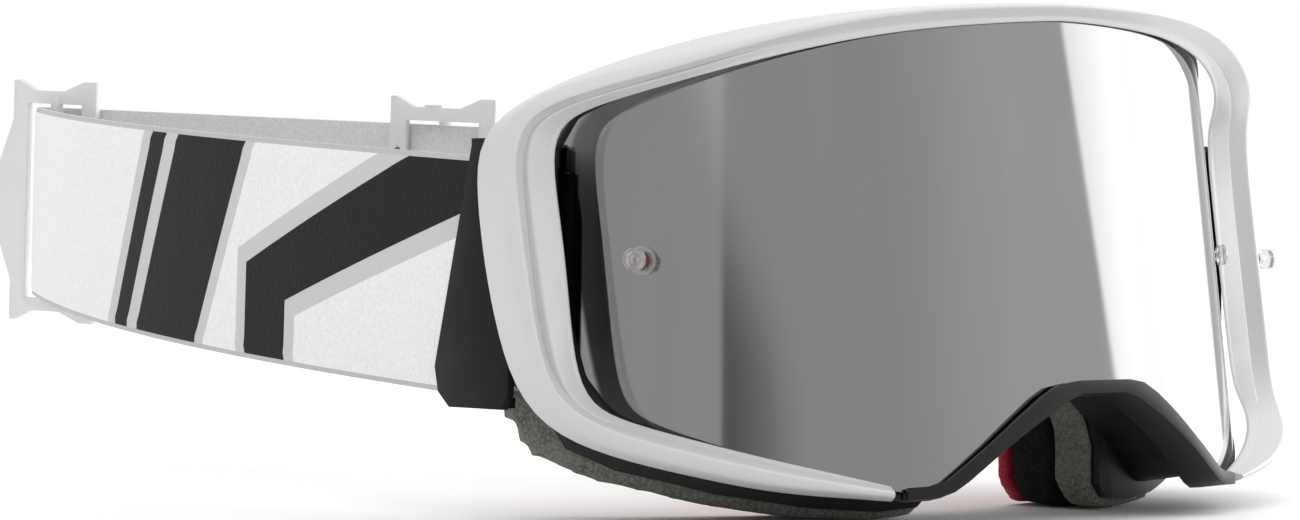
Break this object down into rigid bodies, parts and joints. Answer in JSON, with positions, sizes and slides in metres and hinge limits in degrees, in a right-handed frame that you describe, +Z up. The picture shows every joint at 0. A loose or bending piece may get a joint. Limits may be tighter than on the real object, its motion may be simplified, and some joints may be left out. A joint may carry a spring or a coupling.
{
  "type": "off-road riding goggles",
  "caption": "Off-road riding goggles with a mirrored cylindrical lens, two-part frame, layered face foam, swivelling strap clips and a wide adjustable elastic strap.",
  "frame": {"origin": "middle of the face seal, on the symmetry plane and level with the tear-off posts", "axes": "+Z up, -Y forward the way the wearer looks, +X towards the wearer's left, +Y back along the strap"},
  "size_m": [0.1976, 0.3526, 0.0973],
  "materials": {
    "frame_white": "smooth satin injection moulding",
    "frame_black": "matte soft moulding",
    "mirror_lens": "silver mirror coating on clear film-smooth sheet",
    "seal_foam": "fine closed cell",
    "clear_post": "clear polished moulding",
    "red_ring": "satin",
    "black_plastic": "fine spark texture",
    "vent_foam": "open cell",
    "foam_grey": "fine cell foam",
    "foam_black": "fine cell foam",
    "fleece_red": "brushed fleece",
    "slider_white": "milky satin moulding",
    "steel_pin": "drawn wire",
    "webbing": "knitted elastic with printed bands"
  },
  "bodies": {
    "mask": {"outer_frame": "frame_white", "inner_frame": "frame_black", "lens": "mirror_lens", "lens_seal": "seal_foam", "tearoff_post_right": "clear_post", "tearoff_post_left": "clear_post", "post_ring_right": "red_ring", "post_ring_left": "red_ring", "post_nut_right": "black_plastic", "post_nut_left": "black_plastic", "side_post_base": "frame_white", "side_post_plug": "black_plastic", "side_post_collar": "black_plastic", "side_post": "clear_post", "vent_foam_top": "vent_foam", "vent_foam_nose_right": "vent_foam", "vent_foam_nose_left": "vent_foam", "foam_front": "foam_grey", "foam_middle": "foam_black", "face_fleece": "fleece_red", "clip_pin_right": "steel_pin", "clip_pin_left": "steel_pin", "strap_right": "webbing", "strap_overlap": "webbing", "strap_left": "webbing"},
    "clip_right": {"strap_clip_right": "black_plastic", "strap_loop_right": "webbing"},
    "clip_left": {"strap_clip_left": "black_plastic", "strap_loop_left": "webbing"},
    "rear_slider": {"slider_rear": "slider_white", "slider_rear_loop": "webbing", "strap_fold": "webbing"},
    "left_slider": {"slider_left": "slider_white", "slider_left_loop": "webbing"}
  },
  "joints": [
    {"name": "right_clip_swivel", "type": "hinge", "parent": "mask", "child": "clip_right", "pos_m": [-0.0872, 0.016, 0], "axis": [0, 0, 1], "range_deg": [-6, 8]},
    {"name": "left_clip_swivel", "type": "hinge", "parent": "mask", "child": "clip_left", "pos_m": [0.0872, 0.016, 0], "axis": [0, 0, -1], "range_deg": [-6, 8]},
    {"name": "rear_slider_slide", "type": "slide", "parent": "mask", "child": "rear_slider", "axis": [-0.4909, 0.8699, 0.0486], "range_m": [0, 0.03]},
    {"name": "left_slider_slide", "type": "slide", "parent": "mask", "child": "left_slider", "axis": [0.4909, -0.8699, -0.0486], "range_m": [0, 0.04]}
  ]
}
